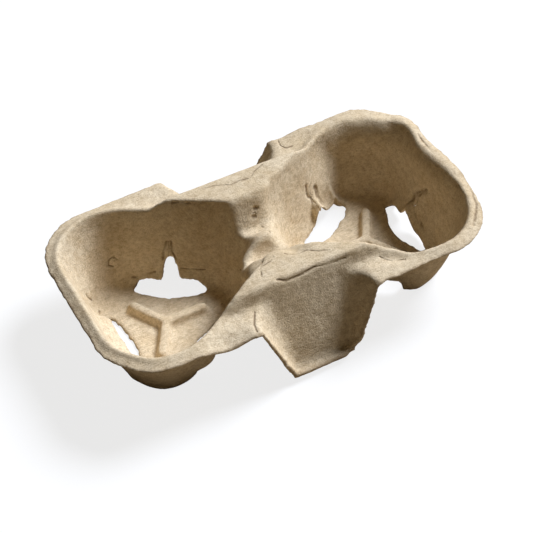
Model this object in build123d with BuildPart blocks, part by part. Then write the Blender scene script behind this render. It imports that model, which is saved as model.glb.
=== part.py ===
from build123d import *
import os
from math import cos, hypot, radians, tan

# A two-cup carrier, moulded from paper pulp as one sheet of even thickness.
# Millimetres. +X runs along the carrier, +Z is up, and the ground is at zero below the middle.

# Sheet
sheet = 2.0

# Flange, the flat trimmed edge that runs all round
flange_length = 217.4
flange_width = 119.6
flange_corner = 32.5
flange_height = 42.0

# Cup cells, each a rounded triangle that widens upwards
cell_spacing = 119.5
seat_reach = 20.0
seat_round = 20.0
mouth_reach = 27.0
mouth_round = 28.0
seat_fillet = 6.0
foot_round = 2.5

# Bead round each mouth, standing on the flange
bead_height = 2.4
bead_top = 1.2
bead_foot = 5.4
bead_round = 0.8

# Ridges across the middle, front and back, standing on the flange
ridge_rise = 8.2
ridge_length = 75.6
ridge_width = 78.4
ridge_draft = 24.6
ridge_end_draft = 64.0
ridge_outer_round = 3.0

# Saddle between the two cells, with a flat valley on each side of a crest
saddle_depth = 15.2
saddle_top_width = 41.0
saddle_valley_width = 26.0
saddle_crest_width = 16.0
saddle_crest_rise = 5.4
saddle_valley_fillet = 2.0
saddle_crest_fillet = 4.0
saddle_shoulder_round = 3.0
saddle_length = 32.0

# Finger recesses, front and back
recess_lip_height = 5.2
recess_lip_flare = 4.6
recess_top_panel = 31.0
recess_top_flare = 16.5
recess_foot_panel = 26.0
recess_foot_flare = 3.6
recess_bow = 0.26
recess_shoulder_round = 2.4
lip_root = 12.0

# Raised three-armed rib on each floor
rib_reach = 24.0
rib_width = 6.4
rib_height = 2.8
rib_draft = 22.0
rib_groove_width = 3.4
rib_groove_depth = 2.4

# Three slots in each floor, with a slit up the wall over each
slot_inner = 19.6
slot_end_inner = 24.0
slot_outer = 33.0
slot_half_length = 19.5
slot_outer_half_length = 16.3
slot_corner = 1.5
flap_height = 3.0
slit_foot_width = 11.0
slit_waist_width = 6.0
slit_waist_height = 11.5
slit_tip_round = 1.4
slit_height = 16.5

# Derived sizes
floor = sheet
ridge_height = flange_height + ridge_rise
above = ridge_height + 3 * sheet
below = -6 * sheet
trim_margin = 5 * sheet
overlap = sheet / 100
wall_climb = (flange_height - floor) / ((mouth_reach - seat_reach) / 2 + mouth_round - seat_round)
wall_spread = hypot(1, 1 / wall_climb)
ridge_slope = tan(radians(ridge_draft))
ridge_spread = 1 / cos(radians(ridge_draft))
ridge_end_slope = tan(radians(ridge_end_draft))
ridge_end_spread = 1 / cos(radians(ridge_end_draft))
saddle_slope = (saddle_top_width - saddle_valley_width) / 2 / saddle_depth
lip_lean = recess_lip_flare / (flange_height - recess_lip_height)


def cell_section(height, grow):
    """The rounded triangle of a cell at a height, on its own plane."""
    climb = (height - floor) / (flange_height - floor)
    reach = seat_reach + (mouth_reach - seat_reach) * climb
    rounding = seat_round + (mouth_round - seat_round) * climb + grow
    with BuildSketch(Plane.XY.offset(height)) as section:
        RegularPolygon(radius=reach, side_count=3, rotation=60)
        offset(amount=rounding)
    return section.sketch


def cell_hollow(grow):
    """The space inside one cell, grown outwards through the sheet by grow."""
    with BuildPart() as hollow:
        add(cell_section(floor - grow, grow * wall_spread))
        add(cell_section(above, grow * wall_spread))
        loft()
        fillet(hollow.edges().group_by(Axis.Z)[0], radius=foot_round if grow else seat_fillet)
    return hollow.part


def mouth_bead(grow):
    """The low bead that stands on the flange round one mouth."""
    base = flange_height - grow
    with BuildPart() as bead:
        add(cell_section(base, bead_foot))
        add(cell_section(base + bead_height, bead_top))
        loft()
        add(cell_hollow(grow), mode=Mode.SUBTRACT)
        if not grow:
            fillet(bead.edges().group_by(Axis.Z)[-1], radius=bead_round)
    return bead.part


def mouth_beads(grow):
    """Both beads, each ending a short way inside the ridges."""
    with BuildPart() as beads:
        with PolarLocations(cell_spacing / 2, 2):
            add(mouth_bead(grow))
        Box(ridge_length - 2 * bead_foot, flange_width, 2 * above, mode=Mode.SUBTRACT)
    return beads.part


def recess_plan(height, panel_half, flare, grow):
    """Plan of a finger recess at a height, open towards +Y."""
    panel_y = ridge_width / 2 + (ridge_height - height) * ridge_slope - grow * ridge_spread
    edge_y = flange_width / 2 + (flange_height - height) * lip_lean
    side = panel_half + flare + grow
    bow = flare * recess_bow
    middle = ((panel_half + side) / 2 + bow, (panel_y + edge_y) / 2 - bow)
    far = edge_y + lip_root
    with BuildSketch(Plane.XY.offset(height)) as plan:
        with BuildLine():
            Line((-panel_half, panel_y), (panel_half, panel_y))
            ThreePointArc((panel_half, panel_y), middle, (side, edge_y))
            Polyline((side, edge_y), (side, far), (-side, far), (-side, edge_y))
            ThreePointArc((-side, edge_y), (-middle[0], middle[1]), (-panel_half, panel_y))
        make_face()
    return plan.sketch


def finger_recess(grow):
    """The space of the recess at the back, grown into the carrier by grow."""
    foot = recess_lip_height - grow
    with BuildPart() as recess:
        add(recess_plan(foot, recess_foot_panel / 2, recess_foot_flare, grow))
        add(recess_plan(flange_height, recess_top_panel / 2, recess_top_flare, grow))
        loft(ruled=True)
    return recess.part


def lip_wedge():
    """The outer boundary leans out over the back recess, down to its lip."""
    root = flange_width / 2 - lip_root
    with BuildPart() as wedge:
        with BuildSketch(Plane.YZ.offset(-ridge_length / 2)):
            with BuildLine():
                Polyline(
                    (root, below),
                    (root, flange_height),
                    (flange_width / 2, flange_height),
                    (flange_width / 2 + lip_lean * (flange_height - below), below),
                    close=True,
                )
            make_face()
        extrude(amount=ridge_length)
    return wedge.part


def ridge_block(grow):
    """The block that stands on the flange across the middle, before the cells are cut from it."""
    base = flange_height - grow
    top = ridge_height - grow
    inset = grow * (ridge_spread - ridge_slope)
    end_inset = grow * (ridge_end_spread - ridge_end_slope)
    spread = ridge_rise * ridge_slope - inset
    end_spread = ridge_rise * ridge_end_slope - end_inset
    with BuildPart() as block:
        with BuildSketch(Plane.XY.offset(base)):
            Rectangle(ridge_length + 2 * end_spread, ridge_width + 2 * spread)
        with BuildSketch(Plane.XY.offset(top)):
            Rectangle(ridge_length - 2 * end_inset, ridge_width - 2 * inset)
        loft()
        raised = block.edges().filter_by_position(Axis.Z, base + sheet, top)
        fillet(raised, radius=ridge_outer_round - grow)
    return block.part


def saddle_channel(grow):
    """The dip across the divider, with a crest along X between its two valleys."""
    high = ridge_height + 2 * sheet
    top_half = saddle_top_width / 2 + (high - ridge_height) * saddle_slope
    valley = ridge_height - saddle_depth
    crest = valley + saddle_crest_rise
    with BuildPart() as channel:
        with BuildSketch(Plane.YZ.offset(-saddle_length / 2)) as profile:
            with BuildLine():
                Polyline(
                    (-top_half, high),
                    (-saddle_valley_width / 2, valley),
                    (-saddle_crest_width / 2, valley),
                    (0, crest),
                    (saddle_crest_width / 2, valley),
                    (saddle_valley_width / 2, valley),
                    (top_half, high),
                    close=True,
                )
            make_face()
            fillet(profile.vertices().group_by(Axis.Y)[0], radius=saddle_valley_fillet)
            middle = profile.vertices().sort_by_distance((0, crest))[0]
            fillet(middle, radius=saddle_crest_fillet)
            if grow:
                offset(amount=grow)
        extrude(amount=saddle_length)
    return channel.part


def flange_slab(grow):
    """The flange and everything below it, with both finger recesses taken out."""
    base = flange_height - grow
    recess = finger_recess(grow)
    mouth_half = recess_top_panel / 2 + recess_top_flare
    with BuildPart() as slab:
        with BuildSketch(Plane.XY.offset(below - grow)):
            length = flange_length + trim_margin * grow
            width = flange_width + trim_margin * grow
            RectangleRounded(length, width, flange_corner)
        extrude(amount=flange_height - below)
        if not grow:
            add(lip_wedge())
            add(lip_wedge().mirror(Plane.XZ))
        add(recess, mode=Mode.SUBTRACT)
        add(recess.mirror(Plane.XZ), mode=Mode.SUBTRACT)
        if not grow:
            level = slab.edges().filter_by_position(Axis.Z, base, base)
            level = level.filter_by(lambda edge: abs(edge.center().Y) < flange_width / 2 - sheet)
            shoulders = level.filter_by(lambda edge: sheet < abs(edge.center().X) < mouth_half)
            fillet(shoulders, radius=recess_shoulder_round)
    return slab.part


def mould(grow):
    """The solid under the sheet's upper face, or under its lower face with grow as the thickness."""
    top = ridge_height - grow
    with BuildPart() as form:
        add(flange_slab(grow))
        add(ridge_block(grow))
        with PolarLocations(cell_spacing / 2, 2):
            add(cell_hollow(grow), mode=Mode.SUBTRACT)
        add(saddle_channel(grow), mode=Mode.SUBTRACT)
        if not grow:
            half = saddle_top_width / 2
            dipped = form.edges().filter_by_position(Axis.Z, top - saddle_depth - sheet, top - sheet)
            dipped = dipped.filter_by_position(Axis.Y, -half, half)
            shoulders = dipped.filter_by(lambda edge: sheet < abs(edge.center().X) < saddle_length / 2)
            level = form.edges().filter_by_position(Axis.Z, top - overlap, top + overlap)
            level = level.filter_by_position(Axis.Y, -half - overlap, half + overlap)
            fillet(shoulders + level, radius=saddle_shoulder_round)
        add(mouth_beads(grow))
    return form.part


def floor_rib(reach, width, height, base):
    """The three-armed rib on the floor of one cell."""
    with BuildPart() as rib:
        for turn in range(3):
            with BuildSketch(Plane.XY.offset(base).rotated((0, 0, 60 + 120 * turn))):
                SlotCenterPoint((reach / 2 - width / 4, 0), (reach - width / 2, 0), width)
            extrude(amount=height, taper=rib_draft)
    return rib.part


def wall_slot():
    """The slot between two arms, with its slit up the wall, on the cell's outer side."""
    ends = [(slot_end_inner, slot_half_length), (slot_outer, slot_outer_half_length)]
    with BuildPart() as slot:
        with BuildSketch(Plane.XY.offset(-sheet)) as plan:
            with BuildLine():
                ThreePointArc((ends[0][0], -ends[0][1]), (slot_inner, 0), ends[0])
                Polyline(ends[0], ends[1], (ends[1][0], -ends[1][1]), (ends[0][0], -ends[0][1]))
            make_face()
            fillet(plan.vertices(), radius=slot_corner)
        extrude(amount=flap_height + sheet)
        with BuildSketch(Plane.YZ.offset(slot_inner + sheet)) as slit:
            with BuildLine():
                Polyline(
                    (-slit_foot_width / 2, 0),
                    (-slit_waist_width / 2, slit_waist_height),
                    (-slit_tip_round, slit_height),
                    (slit_tip_round, slit_height),
                    (slit_waist_width / 2, slit_waist_height),
                    (slit_foot_width / 2, 0),
                    close=True,
                )
            make_face()
            fillet(slit.vertices().group_by(Axis.Y)[-1], radius=slit_tip_round / 2)
        extrude(amount=mouth_round)
    return slot.part


with BuildPart() as carrier:
    add(mould(0))
    add(mould(sheet), mode=Mode.SUBTRACT)
    with PolarLocations(cell_spacing / 2, 2):
        add(floor_rib(rib_reach, rib_width, rib_height + overlap, floor - overlap))
        add(floor_rib(rib_reach - sheet, rib_groove_width, rib_groove_depth, 0), mode=Mode.SUBTRACT)
        for turn in range(3):
            add(wall_slot().rotate(Axis.Z, 120 * turn), mode=Mode.SUBTRACT)

carrier.part.label = "carrier"
os.makedirs("parts", exist_ok=True)
export_step(carrier.part, "parts/carrier.step")
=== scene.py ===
import bpy
import itertools
import math
import numpy as np
from mathutils import Matrix, Vector


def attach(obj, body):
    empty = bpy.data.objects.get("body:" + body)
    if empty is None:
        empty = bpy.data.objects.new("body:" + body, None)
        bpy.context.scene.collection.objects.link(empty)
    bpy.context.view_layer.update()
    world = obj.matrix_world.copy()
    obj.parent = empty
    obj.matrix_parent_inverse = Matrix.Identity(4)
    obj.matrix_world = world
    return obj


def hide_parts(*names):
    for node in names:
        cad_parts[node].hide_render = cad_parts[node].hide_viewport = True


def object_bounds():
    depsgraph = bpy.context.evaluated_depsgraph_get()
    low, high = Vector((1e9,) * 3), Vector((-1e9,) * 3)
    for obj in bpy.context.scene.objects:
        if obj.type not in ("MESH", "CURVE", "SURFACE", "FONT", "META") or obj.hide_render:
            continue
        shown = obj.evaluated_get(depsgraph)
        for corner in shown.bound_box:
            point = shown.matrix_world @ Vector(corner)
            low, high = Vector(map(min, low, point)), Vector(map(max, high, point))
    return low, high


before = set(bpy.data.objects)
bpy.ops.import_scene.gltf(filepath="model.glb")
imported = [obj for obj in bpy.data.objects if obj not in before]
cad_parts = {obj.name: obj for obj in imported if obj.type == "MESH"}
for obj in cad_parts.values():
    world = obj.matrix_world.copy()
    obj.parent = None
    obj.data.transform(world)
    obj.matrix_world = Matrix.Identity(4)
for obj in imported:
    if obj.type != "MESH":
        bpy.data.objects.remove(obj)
cad_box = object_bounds()

MM = 0.001

# The photograph's view, in the frame's metres and degrees
PHOTO_SIZE = 533
FOCAL_PIXELS = 1645.6
SENSOR = 36.0
VIEW_TURN = -25.75
VIEW_DROP = 47.41
VIEW_ROLL = 2.55
VIEW_SHIFT = (0.81 * MM, 9.07 * MM, 871.42 * MM)
VIEW_LEVEL = 2.0 * MM

# Light
SUN_TURN = 14.0
SUN_HEIGHT = 46.0
SUN_STRENGTH = 5.2
SUN_SIZE = 24.0
SUN_COLOUR = (0.93, 0.98, 1.09)
SKY_STRENGTH = 0.035
SKY_COLOUR = (1.0, 0.7, 0.3, 1)
FLOOR_SIZE = 3.0
FLOOR_SHADOW = 0.2
FLOOR_BOUNCE = (0.42, 0.34, 0.24, 1)
FLOOR_SEEN = (0.95, 0.95, 0.95, 1)
BACKDROP = (1, 1, 1, 1)

# Colours and shine of the pulp
PULP_TAN = (0.72, 0.59, 0.4, 1)
PULP_BROWN = (0.65, 0.51, 0.32, 1)
PULP_PALE = (0.79, 0.68, 0.5, 1)
# The deep tone of the fibres, and also the painted shade along the cut edge
PULP_DEEP = (0.3, 0.2, 0.1, 1)
PULP_SPECK = (0.3, 0.22, 0.14, 1)
# Painted shade along the creases and dents
PULP_CREASE_SHADE = (0.2, 0.13, 0.07, 1)
PULP_ROUGHNESS = 0.85
PULP_SHINE = 0.25

# Noise in the pulp's colour: lumps to the metre, detail, roughness, and what becomes zero and one
PATCHES = (28, 3, 0.5, 0.35, 0.65)
MOTTLE = (110, 4, 0.6, 0.3, 0.7)
SPECKS = (620, 1, 0.5, 0.7, 0.78)
# Patches of the painted shade along the cut edge
EDGE_SHADE_PATCHES = (160, 3, 0.6, 0.35, 0.6)
CRACK_BREAKS = (300, 2, 0.5, 0.25, 0.45)

# How much of its colour each effect lays over the pulp
MOTTLE_SHARE = 0.45
SPECK_SHARE = 0.5
# How much painted shade darkens the cut edge
EDGE_SHADE_SHARE = 0.85
# How much painted shade darkens the creases and dents
CREASE_SHADE_SHARE = 0.8

# Felted fibres: lumps to the metre, detail and roughness, then how they stretch, stand up and shade
GRAIN = (1300, 2, 0.7)
FELT_LUMPS = (330, 3, 0.6)
HAIRS = (1000, 3, 0.7)
HAIR_TURN = (0.5, 0.9, 0.4)
HAIR_STRETCH = (0.3, 1.0, 1.0)
HAIR_HEIGHT = 0.8
LUMP_HEIGHT = 1.2
FIBRE_TONES = (1.12, 1.88)
FIBRE_SHADE = (-0.5, 0.8)
FIBRE_DEPTH = 0.25 * MM

# Cracks along the creases: how deep they look beside the fibres, and the noise they wander with
CRACK_DEPTH = -1.5
CRACK_WANDER = (260, 3, 0.5)
NOISE_MIDDLE = (0.5, 0.5, 0.5)

# In widths of the crease: how far a crack wanders, where it is gone and full, and how far out it may show
CRACK_WANDER_SIZE = 2.4
CRACK_EDGE = (1.7, 0.3)
CRACK_REACH = 5

# Pulp sheet, in millimetres as the solid is
VOXEL = 1.13
FLANGE_HALF = (108.7, 59.8)
FLANGE_CORNER = 32.5
FLANGE_HEIGHT = 42.0
LIP_LEAN = 4.6 / 36.8
CELL_CENTRE = 59.75
FLOOR_RADIUS = 26
FLOOR_TOP = 2.3
RIB_TOP = 6
RIB_GAIN = 0.6
SLOT_INNER = 19.6
SLOT_ARC = 45.4
SLOT_HALF = 19.5
FLAP_HEIGHT = 3.0
SLIT_HEIGHT = 16.5
SLIT_FOOT = 5.5
SLIT_TIP = 1.4
FLAP_REACH = 16.5
FLAP_FADE = 9.0
LIFT_FADE = 18.0
SLIT_REACH = 15.0
SLIT_FADE = 3
SLIDE_FADE = 8
FLAP_SIDE_FADE = 7
WALL_OUTER = 45
WALL_START = (22, 3)
WALL_FOOT = (1, 1.5)
PULL_START = (24, 2)

# Where the forms are softened: each limit, and the distance past it over which that fades
RIDGE_END = (46, 14)
RIDGE_FOOT = (43, 3)
SADDLE_END = (12, 8)
SADDLE_SIDE = (20, 6)
SADDLE_FOOT = (32, 6)
RECESS_SIDE = (34, 6)
RECESS_INNER = (44, 4)
RECESS_OUTER = (-5, 3)
MOUTH_FOOT = (37, 5)
MOUTH_START = (62, 14)
BEAD_FOOT = (41, 2)
BEAD_END = (-50, 12)

# How much each form is softened: the strength, and the rounds
RIDGE_SOFT = (0.9, 4)
SADDLE_SOFT = (1.0, 4)
RECESS_SOFT = (0.9, 8)
MOUTH_SOFT = (0.9, 16)
BEAD_SOFT = (0.9, 7)
SHEET_SOFT = (0.8, 2)
SOFT_STEP = 0.5

# Slow warps along each axis: the size and the seed
WARPS = ((0.5, 11), (0.5, 12), (0.45, 13))
WARP_WIDTH = 46.0

# Lumps and tears: the size, the width of the lumps and the seed
LUMPS = ((0.16, 9.0, 21), (0.11, 4.6, 22), (0.07, 2.4, 23))
TRIM_TEARS = ((0.5, 2.6, 31), (0.4, 7.0, 32), (0.35, 23.0, 33))
SLOT_TEARS = ((0.6, 2.4, 41), (0.5, 5.5, 42))

# Wrinkles along the ridges
WRINKLE_END = (34, 14)
WRINKLE_FOOT = (46, 3)
WRINKLE_STRETCH = (0.16, 1.0, 1.0)
WRINKLE_DEPTH = 0.22
WRINKLES = (3.2, 24)

# Trimmed edge of the flange and of the recess lips
TRIM_CUT = 0.2
TRIM_DEEPEST = 1.5
TRIM_REACH = 3.5
TRIM_BELOW = 3
TRIM_FADE = 2
TRIM_WAVE = 0.3
TRIM_WAVES = (5.0, 34)
LIP_TOP = (37, 3)
LIP_SIDE = (36, 2)
LIP_TEAR = 0.8
# How the painted shade along the cut edge grows with nearness to the trim
CUT_GAIN = 1.6
CUT_START = 0.8
TINY = 0.001

# Torn edges of the floor slots, flaps and slits: how far out, along and up each one is, and its reach
FLOOR_EDGE_OUT = 10
FLOOR_EDGE_REACH = 3
FLOOR_EDGE_TOP = (3, 2)
FLOOR_EDGE_SPARE = 1
FLAP_EDGE_OUT = 26
FLAP_EDGE_REACH = 3
FLAP_EDGE_HALF = 18
FLAP_TEAR = 0.8
SLIT_EDGE_OUT = 27
SLIT_EDGE_REACH = 2.5
SLIT_EDGE_FOOT = 4
SLIT_EDGE_SPARE = 2
SLIT_TEAR = 0.8

# Each slot's side and turn, how far its flap leans in, how far its slit is closed and slid, and how far
# the torn edge over it is lifted at distances along it
SLOTS = (
    (1, 0, 2.6, 1.3, 3.0, (
        (-18, -0.5), (-8, -1), (-2, 0.5), (1.7, 4.5), (4.5, 6.5), (5.7, 8), (6.9, 4), (8.8, 0.2), (18, -0.5),
    )),
    (1, 120, 0.6, 1.3, -1.0, (
        (-19.5, 1), (-17.5, 4), (-16, 5), (-14.5, 2), (-11, 0.5), (-8, 1.5), (-5, 7), (-1.4, 10.5),
        (1.5, 6.5), (2.8, 0.5), (10, -1), (18, -1),
    )),
    (1, 240, 0.0, 0.2, 0.0, ((0, 4.5),)),
    (-1, 180, 5.5, 1.3, 0.0, ((0, -0.6),)),
    (-1, 60, 0.0, 0.08, 0.0, ((-18, -1), (-12, 1), (-6, 1.6), (12, 1.4), (18, 1))),
    (-1, 300, 0.0, 0.2, 0.0, ((0, 1.5),)),
)

# Where this carrier has been pushed out of shape: the middle, the reach and the shift
PUSHES = (
    ((-9, -13, 31), (13, 19, 17), (-8.0, 0, 0)),
    ((-15, -17, 32), (13, 13, 14), (-4.0, 0, 0)),
    ((-12, -4, 33), (9, 9, 13), (-3.5, 0, 0)),
    ((-15, -20, 35), (12, 10, 13), (0, 0, 5.0)),
    ((-18, -24, 36), (9, 8, 13), (-2.0, 0, 3.0)),
    ((-6, -12, 30), (15, 8, 10), (0, 1.5, -4.5)),
    ((6, -5, 40), (9, 12, 10), (-3.5, 0, 0)),
    ((-2, 12, 38), (14, 7, 8), (0, -1.2, -1.2)),
    ((-3, -0.5, 39.5), (16, 5, 6), (0, -0.8, 1.4)),
    ((-4, -7.5, 35.5), (16, 5.5, 6), (0, 1.0, -1.5)),
    ((10, 12, 42), (10, 14, 14), (-3.0, 0, 0)),
    ((5, -22, 49), (11, 8, 8), (0, -2.0, -2.6)),
    ((60, -47, 43), (26, 8, 6), (0, -1.0, -2.2)),
    ((-75, -58, 42), (35, 15, 6), (0, 0.4, 1.3)),
    ((-99, -46, 41), (17, 17, 9), (1.3, 1.0, 0.3)),
    ((106, -6, 42), (15, 32, 9), (1.2, 0, 3.2)),
    ((90, 52, 42), (22, 14, 8), (0.4, 0.3, 0.3)),
    ((101, 4, 36), (8, 30, 20), (-4.2, 0, 0)),
    ((85, 47, 37), (26, 14, 22), (0, -6.5, 0)),
    ((52, 43, 34), (15, 14, 24), (2.0, 3.5, 0)),
    ((103, 32, 42), (16, 18, 9), (1.0, 1.0, 1.6)),
    ((75, 58, 42), (35, 12, 9), (0, 1.2, 1.0)),
    ((54, 58, 42), (16, 12, 9), (0, 0.6, 0.8)),
    ((95, 34, 36), (12, 18, 20), (-2.4, -2.0, 0)),
    ((-30, 52, 42), (8, 12, 9), (2.0, 0, 0.8)),
    ((-50, -58, 40), (17, 9, 6), (0, 0, -3.2)),
    ((16.6, -64.4, 5.2), (7, 7, 8), (-1.9, 1.3, 1.2)),
    ((-89, -28, 6), (14, 16, 26), (1.5, 0.5, 0)),
    ((-54, -43, 17), (14, 14, 17), (2.0, -6.0, 0)),
    ((64, -38, 3), (16, 12, 14), (1.2, -2.4, 0)),
    ((80, -34, 15), (14, 14, 26), (1.2, -0.8, 0)),
    ((79, -2, 2), (6, 18, 6), (-1.8, 0, 0)),
)

# Creases and cracks, pressed in as grooves and darkened with painted shade: the width, the depth, and the
# places they run through
CREASES = (
    (0.5, 0.5, (3, 10.5, 34.9), (3.4, 5, 38), (2.9, -0.2, 40.2)),
    (0.4, 0.3, (-8.1, -23.9, 50), (-11, -26.6, 50), (-16, -27.2, 50)),
    (0.45, 0.4, (-14.3, -23.9, 49), (-17.5, -28.5, 49.8), (-19.5, -33, 50)),
    (0.4, 0.3, (-14.3, 3.3, 17.2), (-19.2, -14.4, 31.4)),
    (0.45, 0.4, (-35.5, 36, 48.5), (-31.4, 34.6, 48.9), (-27.4, 31.4, 48.5)),
    (0.4, 0.3, (37.5, 57.4, 41.8), (36.5, 53, 41.8), (38.3, 49.8, 41.8), (41.9, 49.7, 41.7)),
    (0.55, 0.5, (-13.7, -38.7, 49.7), (-9, -40.3, 48.2), (-1.5, -39.9, 47.9), (7.2, -39.4, 48.8)),
    (0.4, 0.3, (7.2, -39.4, 48.8), (14, -40.9, 47.9), (23.7, -40.4, 47.5)),
    (0.45, 0.4, (-1.8, -24.6, 49.8), (2.6, -27.3, 49.8), (7.9, -27.8, 49.8), (13.4, -32, 50),
     (18.6, -34.2, 50)),
    (0.45, 0.4, (41.6, -44.4, 42.6), (45.5, -48.2, 42.2), (52.2, -51.1, 41.8)),
    (0.35, 0.3, (55, -47.5, 42.4), (61, -50.4, 42.2), (68, -51.3, 42.4)),
    (0.4, 0.3, (-29.8, -45.6, 41.7), (-34, -52.7, 41.6), (-34.8, -57.5, 41.7)),
    (0.55, 0.5, (-61.9, 36.2, 4.8), (-58, 33.2, 5.6), (-51, 31.4, 6.8)),
    (0.4, 0.4, (-38.1, 24.8, 9.4), (-33.4, 22.6, 9.2), (-27.4, 18.9, 10.1)),
    (0.6, 0.5, (-45.8, 31.1, 15.2), (-44.8, 31.4, 20.4), (-42, 32.3, 26)),
    (0.6, 0.5, (-39.8, 27.8, 15.2), (-40.7, 29.3, 20.8), (-40.1, 31.3, 25.9)),
    (0.7, 0.6, (40.8, 32.2, 27.1), (39.9, 30.6, 22.3), (41.1, 29.6, 18.5), (39.9, 26, 12)),
    (0.5, 0.5, (39.9, 26, 12), (37.6, 21.3, 4.5), (30.9, 17, 4)),
    (1.2, 1.0, (47.1, 33.8, 21.1), (48.4, 32.6, 14), (51.4, 30.6, 6.4)),
    (1.5, 1.2, (97.4, -1.5, 26.5), (95.9, 2.6, 20.6), (94.1, 5.6, 14.8), (91.6, 7.6, 8.9)),
    (0.9, 0.7, (89.8, -4.8, 8), (90.4, -9.4, 8.2), (89.2, -13.1, 7.3), (88.7, -19.2, 6.1)),
    (0.4, 0.3, (95.4, 1.2, 22), (92.4, -1.4, 14), (90.2, -3.4, 8)),
    (0.5, 0.4, (-86.3, 25.8, 3.1), (-87.2, 21, 3.9), (-86, 16, 4.1)),
    (0.5, 0.4, (-91, 30, 15.7), (-90.4, 29.2, 12), (-88, 29.8, 8)),
    (0.45, 0.4, (-16.5, 35.9, 50), (-10.6, 34.8, 50), (-4.2, 31.5, 50), (1.4, 32.1, 50), (7.3, 31, 50)),
    (0.4, 0.3, (7.3, 31, 50), (12.3, 34.9, 50), (17.2, 36.6, 50)),
    (0.35, 0.3, (-66.6, 42.2, 15.9), (-68.6, 43.2, 18.6), (-71.6, 42.8, 17.8), (-72.4, 42, 14.8),
     (-69.9, 41.2, 13.3)),
    (0.5, 0.4, (103.8, 35.2, 42.7), (104, 22, 43.6), (102.9, 8, 44.7), (103.6, -4, 45), (104.2, -14.9, 45)),
    (0.6, 0.5, (104.2, -14.9, 45), (107, -26.3, 42.2), (103.9, -36.9, 42.2), (94.8, -48.3, 42.3)),
)
CREASE_FADE = 1.2
DENTS = ((2.4, 16.5, 42.5), (0.3, 15, 39))
DENT_WIDTH = 1.1
DENT_DEPTH = 0.7
DENT_LENGTH = (0.4, 0, 0)
FAR_AWAY = 99.0

# Numbers that scatter the lattice's values, and how many values there are
SCATTER = (73856093, 19349663, 83492791)
SEED_SCATTER = 2654435761
SCATTER_AGAIN = 1274126177
SCATTER_KEPT = 0x7FFFFFFF
SCATTER_FOLD = 13
SCATTER_DROP = 7
LEVELS = 4096


def sun_direction():
    """From the carrier towards the sun."""
    turn, height = math.radians(SUN_TURN), math.radians(SUN_HEIGHT)
    return Vector((math.cos(turn) * math.cos(height), math.sin(turn) * math.cos(height), math.sin(height)))


def photo_camera():
    """The camera at the photograph's place."""
    turn, drop, roll = math.radians(VIEW_TURN), math.radians(VIEW_DROP), math.radians(VIEW_ROLL)
    ahead = Vector((-math.sin(turn) * math.cos(drop), math.cos(turn) * math.cos(drop), -math.sin(drop)))
    level_right = ahead.cross(Vector((0, 0, 1))).normalized()
    level_down = ahead.cross(level_right)
    right = math.cos(roll) * level_right + math.sin(roll) * level_down
    down = math.cos(roll) * level_down - math.sin(roll) * level_right
    place = -(VIEW_SHIFT[0] * right + VIEW_SHIFT[1] * down + VIEW_SHIFT[2] * ahead)
    place += Vector((0, 0, VIEW_LEVEL))
    lens = bpy.data.cameras.new("photo_camera")
    lens.sensor_width = SENSOR
    lens.lens = FOCAL_PIXELS / PHOTO_SIZE * SENSOR
    camera = bpy.data.objects.new("photo_camera", lens)
    bpy.context.scene.collection.objects.link(camera)
    axes = Matrix((right, -down, -ahead)).transposed().to_4x4()
    camera.matrix_world = Matrix.Translation(place) @ axes
    bpy.context.scene.camera = camera


def studio_light():
    """One high key light from the right and a dim warm fill, before a white backdrop."""
    sun = bpy.data.lights.new("key_light", "SUN")
    sun.energy = SUN_STRENGTH
    sun.color = SUN_COLOUR
    sun.angle = math.radians(SUN_SIZE)
    lamp = bpy.data.objects.new("key_light", sun)
    lamp.rotation_euler = sun_direction().to_track_quat("Z", "Y").to_euler()
    bpy.context.scene.collection.objects.link(lamp)
    world = bpy.data.worlds.new("studio")
    bpy.context.scene.world = world
    world.use_nodes = True
    nodes, links = world.node_tree.nodes, world.node_tree.links
    nodes.clear()
    path = nodes.new("ShaderNodeLightPath")
    fill = nodes.new("ShaderNodeBackground")
    fill.inputs["Color"].default_value = SKY_COLOUR
    fill.inputs["Strength"].default_value = SKY_STRENGTH
    white = nodes.new("ShaderNodeBackground")
    white.inputs["Color"].default_value = BACKDROP
    white.inputs["Strength"].default_value = 1.0
    mix = nodes.new("ShaderNodeMixShader")
    out = nodes.new("ShaderNodeOutputWorld")
    links.new(path.outputs["Is Camera Ray"], mix.inputs["Fac"])
    links.new(fill.outputs[0], mix.inputs[1])
    links.new(white.outputs[0], mix.inputs[2])
    links.new(mix.outputs[0], out.inputs["Surface"])


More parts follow.
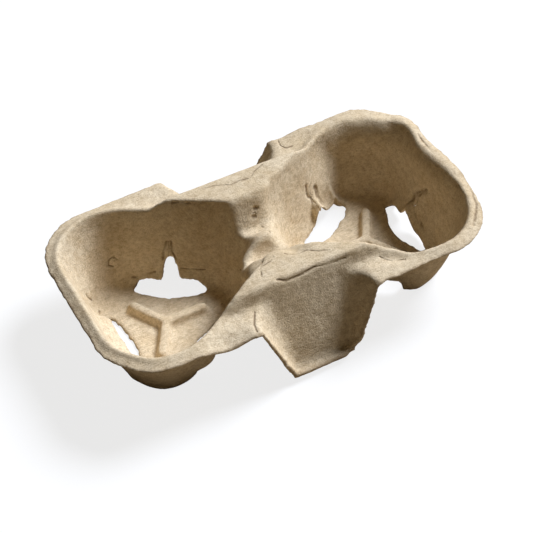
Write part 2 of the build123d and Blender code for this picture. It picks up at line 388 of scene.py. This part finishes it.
def pale_floor():
    """A white floor that keeps a soft part of the carrier's shadow."""
    half = FLOOR_SIZE / 2
    mesh = bpy.data.meshes.new("floor")
    corners = [(-half, -half, 0), (half, -half, 0), (half, half, 0), (-half, half, 0)]
    mesh.from_pydata(corners, [], [range(len(corners))])
    floor = bpy.data.objects.new("floor", mesh)
    bpy.context.scene.collection.objects.link(floor)
    paint = bpy.data.materials.new("white_floor")
    paint.use_nodes = True
    nodes, links = paint.node_tree.nodes, paint.node_tree.links
    nodes.clear()
    path = nodes.new("ShaderNodeLightPath")
    tone = nodes.new("ShaderNodeMix")
    tone.data_type = "RGBA"
    tone.inputs["A"].default_value = FLOOR_BOUNCE
    tone.inputs["B"].default_value = FLOOR_SEEN
    matt = nodes.new("ShaderNodeBsdfDiffuse")
    white = nodes.new("ShaderNodeEmission")
    white.inputs["Strength"].default_value = 1.0
    share = nodes.new("ShaderNodeMath")
    share.operation = "MULTIPLY"
    share.inputs[1].default_value = 1 - FLOOR_SHADOW
    mix = nodes.new("ShaderNodeMixShader")
    out = nodes.new("ShaderNodeOutputMaterial")
    links.new(path.outputs["Is Camera Ray"], tone.inputs["Factor"])
    links.new(tone.outputs["Result"], matt.inputs["Color"])
    links.new(path.outputs["Is Camera Ray"], share.inputs[0])
    links.new(share.outputs[0], mix.inputs["Fac"])
    links.new(matt.outputs[0], mix.inputs[1])
    links.new(white.outputs[0], mix.inputs[2])
    links.new(mix.outputs[0], out.inputs["Surface"])
    mesh.materials.append(paint)


def eased(share):
    """A share between zero and one, eased at both ends."""
    return share * share * (3 - 2 * share)


def lattice_noise(places, width, seed):
    """Smooth noise between -1 and 1, with lumps about width across."""
    grid = places / width
    cell = np.floor(grid).astype(np.int64)
    ease = eased(grid - cell)
    total = np.zeros(len(places))
    for corner in itertools.product((0, 1), repeat=3):
        spots = (cell + corner) * SCATTER
        mixed = spots[:, 0] ^ spots[:, 1] ^ spots[:, 2] ^ seed * SEED_SCATTER
        mixed = (mixed ^ (mixed >> SCATTER_FOLD)) * SCATTER_AGAIN & SCATTER_KEPT
        value = (mixed >> SCATTER_DROP) % LEVELS / ((LEVELS - 1) / 2) - 1
        total += value * np.prod(np.where(corner, ease, 1 - ease), axis=1)
    return total


def layered_noise(places, layers, start):
    """Layers of noise, each with its own size, width and seed, on top of a starting value."""
    total = np.full(len(places), start)
    for size, width, seed in layers:
        total += size * lattice_noise(places, width, seed)
    return total


def fade(distance, reach):
    """One at no distance, falling smoothly to zero at reach."""
    return eased(np.clip(1 - np.abs(distance) / reach, 0, 1))


def up_to(value, limit, reach):
    """One up to a limit, falling smoothly to zero at reach past it."""
    return fade(np.maximum(value - limit, 0), reach)


def down_to(value, limit, reach):
    """One down to a limit, falling smoothly to zero at reach below it."""
    return fade(np.maximum(limit - value, 0), reach)


def rising(value, start, length):
    """Zero up to a start, rising evenly to one over a length."""
    return np.clip((value - start) / length, 0, 1)


def near(places, centre, reach):
    """One at a centre, falling smoothly to zero at a reach along each axis."""
    return fade(np.linalg.norm((places - centre) / reach, axis=1), 1.0)


def soften(places, pairs, weight, strength, rounds):
    """Moves each point part of the way to the middle of its neighbours."""
    step = weight * strength * SOFT_STEP
    starts = np.concatenate((pairs[:, 0], pairs[:, 1]))
    ends = np.concatenate((pairs[:, 1], pairs[:, 0]))
    count = np.bincount(starts, minlength=len(places))
    for _ in range(rounds):
        for axis in range(3):
            total = np.bincount(starts, weights=places[ends, axis], minlength=len(places))
            places[:, axis] += step * (total / count - places[:, axis])
    return places


def lip_edge(height):
    """How far out the recess lips reach at a height."""
    return FLANGE_HALF[1] + LIP_LEAN * (FLANGE_HEIGHT - height)


def soften_forms(places, pairs):
    """Rounds the forms as wet pulp does, more at the right cell's mouth and the left cell's bead."""
    x, y, z = np.abs(places[:, 0]), np.abs(places[:, 1]), places[:, 2]
    ridge = up_to(x, *RIDGE_END) * down_to(z, *RIDGE_FOOT)
    places = soften(places, pairs, ridge, *RIDGE_SOFT)
    saddle = up_to(x, *SADDLE_END) * up_to(y, *SADDLE_SIDE) * down_to(z, *SADDLE_FOOT)
    places = soften(places, pairs, saddle, *SADDLE_SOFT)
    recess = up_to(x, *RECESS_SIDE) * down_to(y, *RECESS_INNER) * up_to(y - lip_edge(z), *RECESS_OUTER)
    places = soften(places, pairs, recess, *RECESS_SOFT)
    mouth = down_to(z, *MOUTH_FOOT) * down_to(places[:, 0], *MOUTH_START)
    places = soften(places, pairs, mouth, *MOUTH_SOFT)
    bead = down_to(z, *BEAD_FOOT) * up_to(places[:, 0], *BEAD_END)
    places = soften(places, pairs, bead, *BEAD_SOFT)
    return soften(places, pairs, 1.0, *SHEET_SOFT)


def raise_ribs(places):
    """Stands the floor ribs a little prouder, as they look in the pressed pulp."""
    for side in (1, -1):
        away = np.linalg.norm(places[:, :2] - (side * CELL_CENTRE, 0), axis=1)
        rib = (away < FLOOR_RADIUS) * (places[:, 2] > FLOOR_TOP) * (places[:, 2] < RIB_TOP)
        places[:, 2] += rib * (places[:, 2] - FLOOR_TOP) * RIB_GAIN
    return places


def press_out_of_true(places):
    """Slow warps, and the places where this carrier has been pushed about."""
    for axis, (size, seed) in enumerate(WARPS):
        places[:, axis] += size * lattice_noise(places, WARP_WIDTH, seed)
    for middle, reach, shift in PUSHES:
        places += np.outer(near(places, middle, reach), shift)
    return places


def roughen(places, normals):
    """Lumps of pulp on both faces, and wrinkles along the ridges."""
    lumps = layered_noise(places, LUMPS, 0.0)
    ridge = up_to(np.abs(places[:, 0]), *WRINKLE_END) * down_to(places[:, 2], *WRINKLE_FOOT)
    lumps += WRINKLE_DEPTH * ridge * lattice_noise(places * WRINKLE_STRETCH, *WRINKLES)
    return places + normals * lumps[:, None]


def from_segment(places, start, end):
    """Each point's offset from the nearest place on a straight line between two places."""
    start, way = np.array(start, dtype=float), np.subtract(end, start)
    share = np.clip((places - start) @ way / (way @ way), 0, 1)
    return places - start - np.outer(share, way)


def crease_offsets(places):
    """Each point's offset and distance from its nearest crease, in widths of that crease, and how deep the
    creases press it."""
    offsets = np.full(places.shape, FAR_AWAY)
    nearest = np.full(len(places), FAR_AWAY)
    groove = np.zeros(len(places))
    dents = [(DENT_WIDTH, DENT_DEPTH, dent, np.add(dent, DENT_LENGTH)) for dent in DENTS]
    for width, depth, *run in (*CREASES, *dents):
        for start, end in itertools.pairwise(run):
            offset = from_segment(places, start, end)
            away = np.linalg.norm(offset, axis=1)
            closer = away / width < nearest
            offsets[closer] = offset[closer] / width
            nearest[closer] = away[closer] / width
            groove = np.maximum(groove, depth * fade(away, width + CREASE_FADE))
    return offsets, nearest, groove


def ragged_trim(places):
    """Tears at the outer edge of the flange and along the recess lips, and how strongly painted shade darkens
    each point near them.
    """
    tear = np.clip(layered_noise(places, TRIM_TEARS, TRIM_CUT), 0, TRIM_DEEPEST)
    plan, z = places[:, :2], places[:, 2]
    beyond = np.abs(plan) - np.array(FLANGE_HALF) + FLANGE_CORNER
    outside = np.maximum(beyond, 0)
    length = np.linalg.norm(outside, axis=1)
    distance = length + np.minimum(beyond.max(axis=1), 0) - FLANGE_CORNER
    weight = down_to(distance, 0, TRIM_REACH) * down_to(z, FLANGE_HEIGHT - TRIM_BELOW, TRIM_FADE)
    straight = np.where(beyond[:, :1] > beyond[:, 1:], (1.0, 0.0), (0.0, 1.0))
    away = np.where(length[:, None] > TINY, outside / np.maximum(length, TINY)[:, None], straight)
    places[:, :2] -= np.sign(plan) * away * (weight * tear)[:, None]
    places[:, 2] -= TRIM_WAVE * weight * lattice_noise(places, *TRIM_WAVES)
    lip = down_to(np.abs(places[:, 1]) - lip_edge(z), 0, TRIM_REACH) * up_to(z, *LIP_TOP)
    lip *= up_to(np.abs(places[:, 0]), *LIP_SIDE)
    places[:, 1] -= np.sign(places[:, 1]) * lip * tear * LIP_TEAR
    cut_edge_shade = np.clip(CUT_GAIN * np.maximum(weight, lip) - CUT_START, 0, 1)
    return places, cut_edge_shade


def slot_view(places, side, turn):
    """A slot's own directions, with each point's distance out and along."""
    angle = math.radians(turn)
    ahead = np.array((math.cos(angle), math.sin(angle)))
    across = np.array((-math.sin(angle), math.cos(angle)))
    local = places[:, :2] - (side * CELL_CENTRE, 0)
    return ahead, across, local @ ahead, local @ across


def slit_half(height):
    """Half the width of a slit at a height."""
    return SLIT_FOOT + (SLIT_TIP - SLIT_FOOT) * rising(height, 0, SLIT_HEIGHT)


def bend_flaps(places):
    """Bends the wall over each slot, lifts its torn edge and closes its slit."""
    for side, turn, lean, close, slide, edge in SLOTS:
        ahead, across, out, along = slot_view(places, side, turn)
        z, reach = places[:, 2], np.abs(along)
        wall = rising(out, *WALL_START) * up_to(reach, FLAP_REACH, FLAP_SIDE_FADE) * (out < WALL_OUTER)
        wall *= rising(z, *WALL_FOOT)
        bend = wall * up_to(z, FLAP_HEIGHT, FLAP_FADE)
        width = slit_half(z) * up_to(z, SLIT_HEIGHT, SLIT_FADE)
        stretch = (SLIT_REACH - width * (1 - close)) / (SLIT_REACH - width)
        drawn = SLIT_REACH - (SLIT_REACH - reach) * stretch
        pull = np.where(reach < SLIT_REACH, drawn - reach, 0) * np.sign(along)
        pull += slide * fade(reach, SLIT_REACH) * up_to(z, SLIT_HEIGHT, SLIDE_FADE)
        pull *= (out < WALL_OUTER) * rising(out, *PULL_START)
        lift = np.interp(along + pull, *zip(*edge)) * wall * up_to(z, FLAP_HEIGHT, LIFT_FADE)
        places[:, :2] -= ahead * (bend * lean)[:, None]
        places[:, :2] += across * pull[:, None]
        places[:, 2] += lift
    return places


def ragged_slots(places):
    """Torn edges of the floor slots, of the flaps over them and of the slits in the walls."""
    tear = layered_noise(places, SLOT_TEARS, 0.0)
    for side, turn, _, close, *_ in SLOTS:
        ahead, across, out, along = slot_view(places, side, turn)
        z, reach = places[:, 2], np.abs(along)
        inner = SLOT_INNER + SLOT_ARC - np.sqrt(np.maximum(SLOT_ARC ** 2 - along ** 2, 0))
        floor_edge = down_to(out - inner, 0, FLOOR_EDGE_REACH) * up_to(z, *FLOOR_EDGE_TOP)
        floor_edge *= (reach < SLOT_HALF + FLOOR_EDGE_SPARE) * (out > FLOOR_EDGE_OUT)
        flap_edge = fade(z - FLAP_HEIGHT, FLAP_EDGE_REACH) * (out > FLAP_EDGE_OUT) * (reach < FLAP_EDGE_HALF)
        slit_edge = up_to(reach, slit_half(z), SLIT_EDGE_REACH) * (out > SLIT_EDGE_OUT)
        slit_edge *= (z > SLIT_EDGE_FOOT) * (z < SLIT_HEIGHT + SLIT_EDGE_SPARE)
        slit_edge *= SLIT_TEAR * max(1 - close, 0)
        places[:, :2] += ahead * (floor_edge * tear)[:, None]
        places[:, 2] += flap_edge * tear * FLAP_TEAR
        places[:, :2] += across * (slit_edge * tear * np.sign(along))[:, None]
    return places


def read_rows(items, name, width, kind):
    """A property of a mesh's items, as rows of numbers."""
    values = np.empty(len(items) * width, dtype=kind)
    items.foreach_get(name, values)
    return values.reshape(-1, width)


def move_points(mesh, places):
    """Puts a mesh's points at their places."""
    mesh.vertices.foreach_set("co", (places * MM).ravel())
    mesh.update()


def pulp_sheet():
    """The moulded sheet as one dense mesh, from the solid's own surface."""
    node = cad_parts["carrier"]
    source = bpy.data.objects.new("sheet_source", node.data.copy())
    bpy.context.scene.collection.objects.link(source)
    remesh = source.modifiers.new("voxels", "REMESH")
    remesh.mode = "VOXEL"
    remesh.voxel_size = VOXEL * MM
    graph = bpy.context.evaluated_depsgraph_get()
    mesh = bpy.data.meshes.new_from_object(source.evaluated_get(graph))
    bpy.data.objects.remove(source)
    mesh.name = "pulp_carrier"
    places = read_rows(mesh.vertices, "co", 3, float) / MM
    pairs = read_rows(mesh.edges, "vertices", 2, np.int32)
    places = press_out_of_true(raise_ribs(soften_forms(places, pairs)))
    move_points(mesh, places)
    normals = read_rows(mesh.vertex_normals, "vector", 3, float)
    places = roughen(places, normals)
    offsets, nearest, groove = crease_offsets(places)
    places -= normals * groove[:, None]
    places, cut_edge_shade = ragged_trim(places)
    mesh.attributes.new("crease_offset", "FLOAT_VECTOR", "POINT").data.foreach_set("vector", offsets.ravel())
    for name, value in (("crease_near", np.clip(CRACK_REACH - nearest, 0, 1)), ("cut_edge_shade", cut_edge_shade)):
        mesh.attributes.new(name, "FLOAT", "POINT").data.foreach_set("value", value)
    places = bend_flaps(ragged_slots(places))
    low, high = (np.array(corner) / MM for corner in cad_box)
    move_points(mesh, np.clip(places, low, high))
    mesh.shade_smooth()
    sheet = bpy.data.objects.new("pulp_carrier", mesh)
    bpy.context.scene.collection.objects.link(sheet)
    return sheet


def feed(tree, socket, value):
    """Gives an input a plain value, or another node's output."""
    if isinstance(value, bpy.types.NodeSocket):
        tree.links.new(value, socket)
    else:
        socket.default_value = value


def calc(tree, operation, *values):
    """A math node's result."""
    node = tree.nodes.new("ShaderNodeMath")
    node.operation = operation
    for socket, value in zip(node.inputs, values):
        feed(tree, socket, value)
    return node.outputs[0]


def measure(tree, operation, *values):
    """A vector math node's result, which is a number for a length."""
    node = tree.nodes.new("ShaderNodeVectorMath")
    node.operation = operation
    for socket, value in zip(node.inputs, values):
        feed(tree, socket, value)
    return node.outputs["Value" if operation == "LENGTH" else "Vector"]


def spread(tree, value, low, high):
    """A value mapped so that low becomes zero and high becomes one."""
    node = tree.nodes.new("ShaderNodeMapRange")
    node.inputs["From Min"].default_value = low
    node.inputs["From Max"].default_value = high
    tree.links.new(value, node.inputs["Value"])
    return node.outputs["Result"]


def noise(tree, place, scale, detail, roughness):
    """A noise texture, with the scale in lumps to the metre."""
    node = tree.nodes.new("ShaderNodeTexNoise")
    node.inputs["Scale"].default_value = scale
    node.inputs["Detail"].default_value = detail
    node.inputs["Roughness"].default_value = roughness
    tree.links.new(place, node.inputs["Vector"])
    return node


def noise_mask(tree, place, scale, detail, roughness, low, high):
    """Patches of noise, from zero at low to one at high."""
    return spread(tree, noise(tree, place, scale, detail, roughness).outputs["Fac"], low, high)


def blend(tree, share, first, second):
    """A colour between two others."""
    node = tree.nodes.new("ShaderNodeMix")
    node.data_type = "RGBA"
    for name, value in (("Factor", share), ("A", first), ("B", second)):
        feed(tree, node.inputs[name], value)
    return node.outputs["Result"]


def at_points(tree, name):
    """A node that reads what the sheet keeps at its points under a name."""
    node = tree.nodes.new("ShaderNodeAttribute")
    node.attribute_name = name
    return node


def fibre_group():
    """Node group: the felted fibres of the pulp, as a height and as a tone."""
    group = bpy.data.node_groups.new("pulp_fibres", "ShaderNodeTree")
    ports = group.interface
    ports.new_socket("Place", in_out="INPUT", socket_type="NodeSocketVector")
    ports.new_socket("Fineness", in_out="INPUT", socket_type="NodeSocketFloat").default_value = 1.0
    ports.new_socket("Height", in_out="OUTPUT", socket_type="NodeSocketFloat")
    ports.new_socket("Tone", in_out="OUTPUT", socket_type="NodeSocketFloat")
    start = group.nodes.new("NodeGroupInput")
    end = group.nodes.new("NodeGroupOutput")
    sized = group.nodes.new("ShaderNodeVectorMath")
    sized.operation = "SCALE"
    group.links.new(start.outputs["Place"], sized.inputs[0])
    group.links.new(start.outputs["Fineness"], sized.inputs["Scale"])
    place = sized.outputs[0]
    strands = group.nodes.new("ShaderNodeMapping")
    strands.inputs["Rotation"].default_value = HAIR_TURN
    strands.inputs["Scale"].default_value = HAIR_STRETCH
    group.links.new(place, strands.inputs["Vector"])
    grain = noise(group, place, *GRAIN).outputs["Fac"]
    lumps = noise(group, place, *FELT_LUMPS).outputs["Fac"]
    hair = noise(group, strands.outputs[0], *HAIRS).outputs["Fac"]
    felt = calc(group, "ADD", grain, calc(group, "MULTIPLY", hair, HAIR_HEIGHT))
    group.links.new(calc(group, "MULTIPLY_ADD", lumps, LUMP_HEIGHT, felt), end.inputs["Height"])
    tone = calc(group, "ADD", calc(group, "ADD", grain, hair), lumps)
    group.links.new(spread(group, tone, *FIBRE_TONES), end.inputs["Tone"])
    return group


def crease_mask(tree, place):
    """One along the creases and dents, which wander and break off here and there; it sets both their bump and
    their painted shade.
    """
    wander = noise(tree, place, *CRACK_WANDER).outputs["Color"]
    moved = measure(tree, "SUBTRACT", wander, NOISE_MIDDLE)
    moved = measure(tree, "MULTIPLY", moved, (CRACK_WANDER_SIZE,) * 3)
    offset = at_points(tree, "crease_offset").outputs["Vector"]
    away = measure(tree, "LENGTH", measure(tree, "ADD", offset, moved))
    close = at_points(tree, "crease_near").outputs["Fac"]
    line = calc(tree, "MULTIPLY", spread(tree, away, *CRACK_EDGE), close)
    return calc(tree, "MULTIPLY", line, noise_mask(tree, place, *CRACK_BREAKS))


def pulp_material():
    """Moulded paper pulp: matt, fibrous and unevenly tan."""
    pulp = bpy.data.materials.new("moulded_pulp")
    pulp.use_nodes = True
    tree = pulp.node_tree
    shader = tree.nodes["Principled BSDF"]
    shader.inputs["Roughness"].default_value = PULP_ROUGHNESS
    shader.inputs["Specular IOR Level"].default_value = PULP_SHINE
    place = tree.nodes.new("ShaderNodeTexCoord").outputs["Object"]
    fibres = tree.nodes.new("ShaderNodeGroup")
    fibres.node_tree = fibre_group()
    tree.links.new(place, fibres.inputs["Place"])
    colour = blend(tree, noise_mask(tree, place, *PATCHES), PULP_BROWN, PULP_TAN)
    mottle = calc(tree, "MULTIPLY", noise_mask(tree, place, *MOTTLE), MOTTLE_SHARE)
    colour = blend(tree, mottle, colour, PULP_PALE)
    specks = calc(tree, "MULTIPLY", noise_mask(tree, place, *SPECKS), SPECK_SHARE)
    colour = blend(tree, specks, colour, PULP_SPECK)
    colour = blend(tree, spread(tree, fibres.outputs["Tone"], *FIBRE_SHADE), PULP_DEEP, colour)
    # Painted shade, in patches, along the cut edge of the flange and recess lips, where its underside falls
    # in shadow
    torn = calc(tree, "MULTIPLY", noise_mask(tree, place, *EDGE_SHADE_PATCHES), EDGE_SHADE_SHARE)
    torn = calc(tree, "MULTIPLY", at_points(tree, "cut_edge_shade").outputs["Fac"], torn)
    colour = blend(tree, torn, colour, PULP_DEEP)
    creases = crease_mask(tree, place)
    # Painted shade darkens the creases and dents, over their pressed grooves
    colour = blend(tree, calc(tree, "MULTIPLY", creases, CREASE_SHADE_SHARE), colour, PULP_CREASE_SHADE)
    tree.links.new(colour, shader.inputs["Base Color"])
    bump = tree.nodes.new("ShaderNodeBump")
    bump.inputs["Strength"].default_value = 1.0
    bump.inputs["Distance"].default_value = FIBRE_DEPTH
    height = calc(tree, "MULTIPLY_ADD", creases, CRACK_DEPTH, fibres.outputs["Height"])
    tree.links.new(height, bump.inputs["Height"])
    tree.links.new(bump.outputs["Normal"], shader.inputs["Normal"])
    return pulp


studio_light()
pale_floor()
photo_camera()
carrier = pulp_sheet()
carrier.data.materials.clear()
carrier.data.materials.append(pulp_material())
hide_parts("carrier")
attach(carrier, "root")
print("carrier triangles", sum(len(face.vertices) - 2 for face in carrier.data.polygons))

bpy.context.scene.view_settings.view_transform = "Standard"
